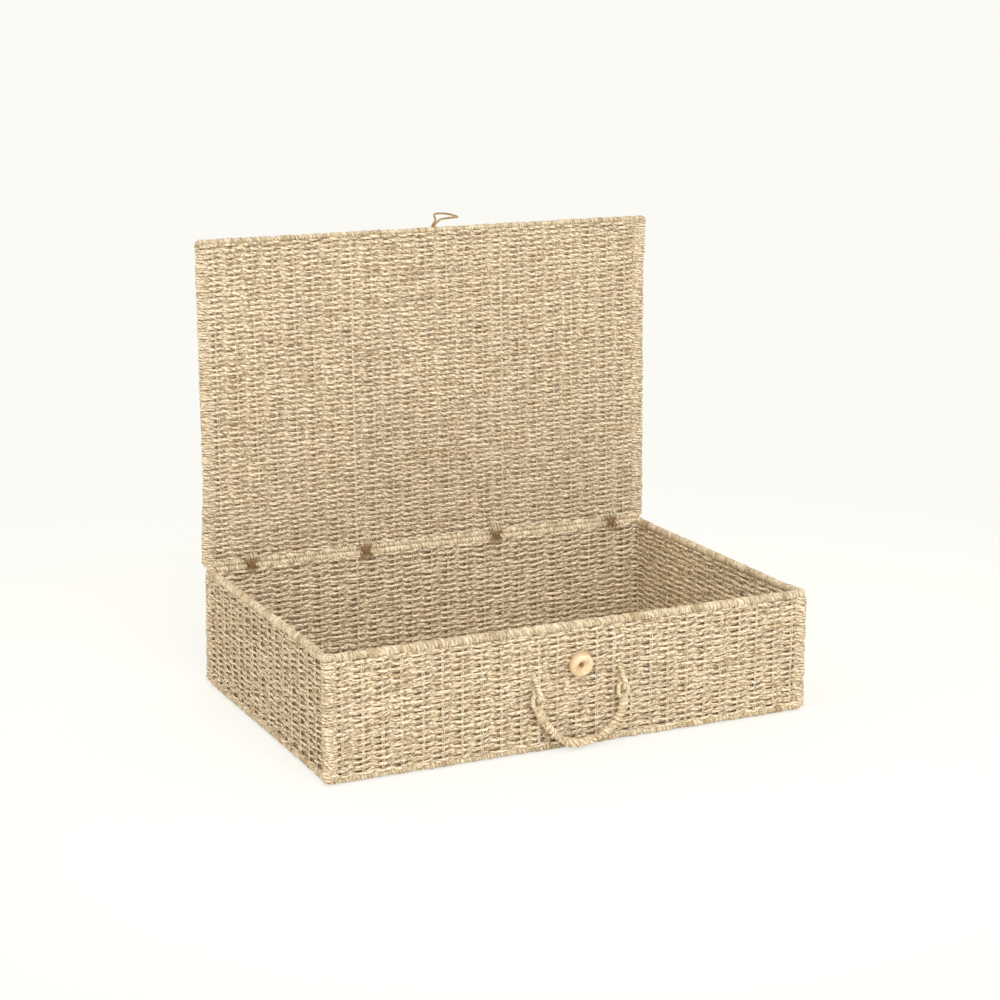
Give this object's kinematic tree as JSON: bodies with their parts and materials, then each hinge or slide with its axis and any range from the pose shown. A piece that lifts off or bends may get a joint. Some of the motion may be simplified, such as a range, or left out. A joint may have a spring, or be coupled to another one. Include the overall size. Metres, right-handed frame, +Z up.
{
  "type": "woven lidded box",
  "caption": "Shallow rectangular seagrass box woven on a wire frame, with a lashed hinged lid, a hanging rope handle, and a wooden button and cord loop closure.",
  "frame": {"origin": "middle of the underside, on the surface that the box stands on", "axes": "+Z up, +X to the right of someone facing the front wall with the button, the front at -Y"},
  "size_m": [0.6, 0.429, 0.5573],
  "materials": {
    "seagrass_weave": "twined twisted seagrass cord, dry and matt with a slight straw sheen",
    "seagrass_rope": "seagrass cord wound on a rope core",
    "steel_wire": "drawn round wire, welded",
    "lashing_cord": "brown twisted cord, crossed lashings",
    "button_wood": "turned pale wood, waxed",
    "loop_cord": "thin twisted brown cord"
  },
  "bodies": {
    "box": {"rim_wire": "steel_wire", "base_wire": "steel_wire", "corner_post_front_left": "steel_wire", "corner_post_front_right": "steel_wire", "corner_post_back_left": "steel_wire", "corner_post_back_right": "steel_wire", "front_stay_left": "steel_wire", "front_stay_right": "steel_wire", "back_stay_left": "steel_wire", "back_stay_right": "steel_wire", "floor_wire_left": "steel_wire", "floor_wire_right": "steel_wire", "front_panel": "seagrass_weave", "back_panel": "seagrass_weave", "left_panel": "seagrass_weave", "right_panel": "seagrass_weave", "floor_panel": "seagrass_weave", "rim_wrap_front": "seagrass_weave", "rim_wrap_back": "seagrass_weave", "rim_wrap_left": "seagrass_weave", "rim_wrap_right": "seagrass_weave", "rim_corner_front_left": "seagrass_weave", "rim_corner_front_right": "seagrass_weave", "rim_corner_back_left": "seagrass_weave", "rim_corner_back_right": "seagrass_weave", "base_wrap_front": "seagrass_weave", "base_wrap_back": "seagrass_weave", "base_wrap_left": "seagrass_weave", "base_wrap_right": "seagrass_weave", "base_corner_front_left": "seagrass_weave", "base_corner_front_right": "seagrass_weave", "base_corner_back_left": "seagrass_weave", "base_corner_back_right": "seagrass_weave", "corner_rib_front_left": "seagrass_weave", "corner_rib_front_right": "seagrass_weave", "corner_rib_back_left": "seagrass_weave", "corner_rib_back_right": "seagrass_weave", "hinge_tie_1": "lashing_cord", "hinge_tie_2": "lashing_cord", "hinge_tie_3": "lashing_cord", "hinge_tie_4": "lashing_cord", "handle_link_left": "seagrass_rope", "handle_link_right": "seagrass_rope", "button": "button_wood", "button_cord": "seagrass_rope"},
    "lid": {"lid_wire": "steel_wire", "lid_wire_left": "steel_wire", "lid_wire_right": "steel_wire", "lid_panel": "seagrass_weave", "lid_wrap_front": "seagrass_weave", "lid_wrap_back": "seagrass_weave", "lid_wrap_left": "seagrass_weave", "lid_wrap_right": "seagrass_weave", "lid_corner_front_left": "seagrass_weave", "lid_corner_front_right": "seagrass_weave", "lid_corner_back_left": "seagrass_weave", "lid_corner_back_right": "seagrass_weave"},
    "handle": {"handle_winding": "seagrass_rope", "handle_core": "seagrass_rope"},
    "loop": {"button_loop": "loop_cord"}
  },
  "joints": [
    {"name": "lid_hinge", "type": "hinge", "parent": "box", "child": "lid", "pos_m": [0, 0.1945, 0.1528], "axis": [1, 0, 0], "range_deg": [0, 91]},
    {"name": "handle_swing", "type": "hinge", "parent": "box", "child": "handle", "pos_m": [0.0015, -0.207, 0.071], "axis": [-1, 0, 0], "range_deg": [0, 150]},
    {"name": "loop_swing", "type": "hinge", "parent": "lid", "child": "loop", "pos_m": [0.0058, 0.2013, 0.5435], "axis": [1, 0, 0], "range_deg": [-25, 75]}
  ]
}
